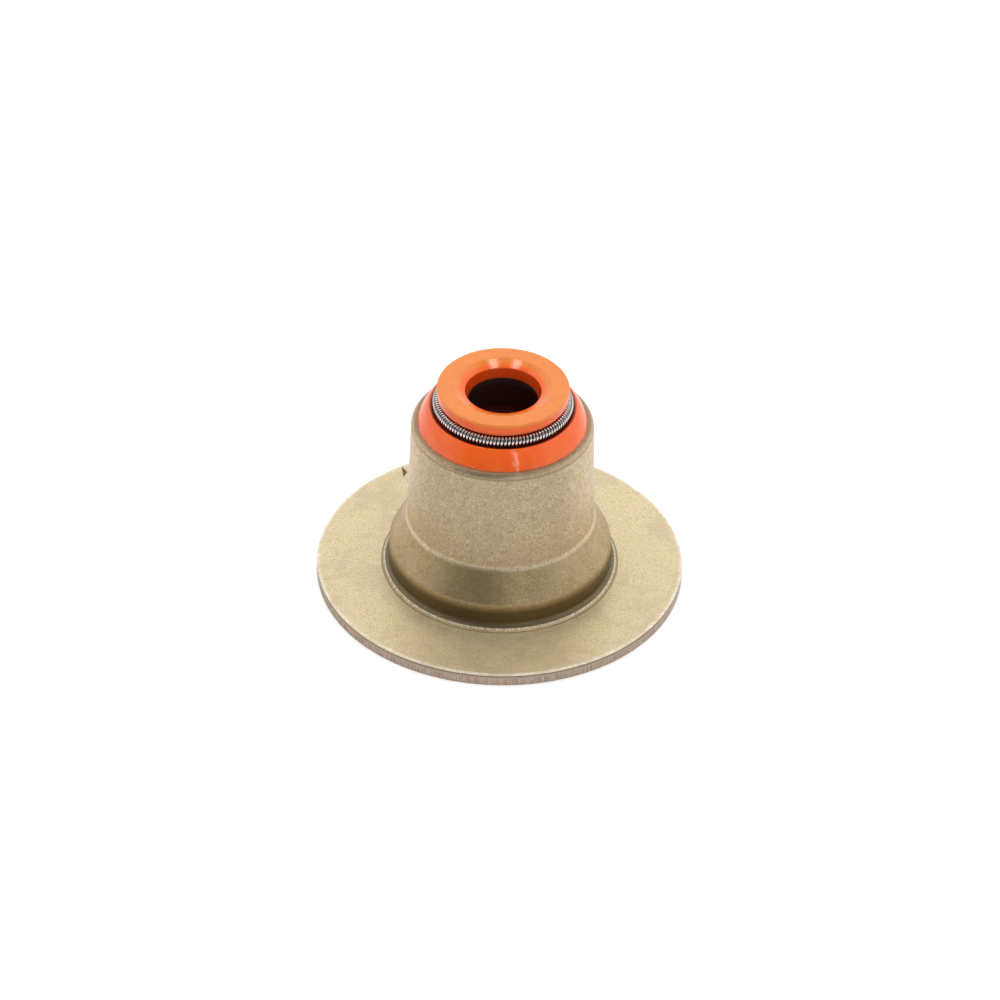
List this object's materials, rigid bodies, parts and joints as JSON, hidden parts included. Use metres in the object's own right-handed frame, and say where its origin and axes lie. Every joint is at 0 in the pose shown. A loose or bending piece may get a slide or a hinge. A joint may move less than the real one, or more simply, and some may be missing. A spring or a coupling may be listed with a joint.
{
  "type": "valve stem seal",
  "caption": "Valve stem seal with its own round spring seat: a stepped steel shell with a wide flange, a moulded rubber lip seal on top and a garter spring round the head.",
  "frame": {"origin": "centre of the flange's underside, on the surface that the part stands on", "axes": "+Z along the valve stem's axis, from the flange towards the sealing lip; the part is round about it"},
  "size_m": [0.034, 0.034, 0.0211],
  "materials": {
    "drawn_steel": "satin, faintly pitted, with a yellowish phosphated tone",
    "orange_rubber": "smooth moulded orange fluoro-rubber, semi-gloss",
    "spring_wire": "bright drawn wire"
  },
  "bodies": {
    "root": {"steel_shell": "drawn_steel", "rubber_seal": "orange_rubber", "garter_spring": "spring_wire"}
  },
  "joints": []
}
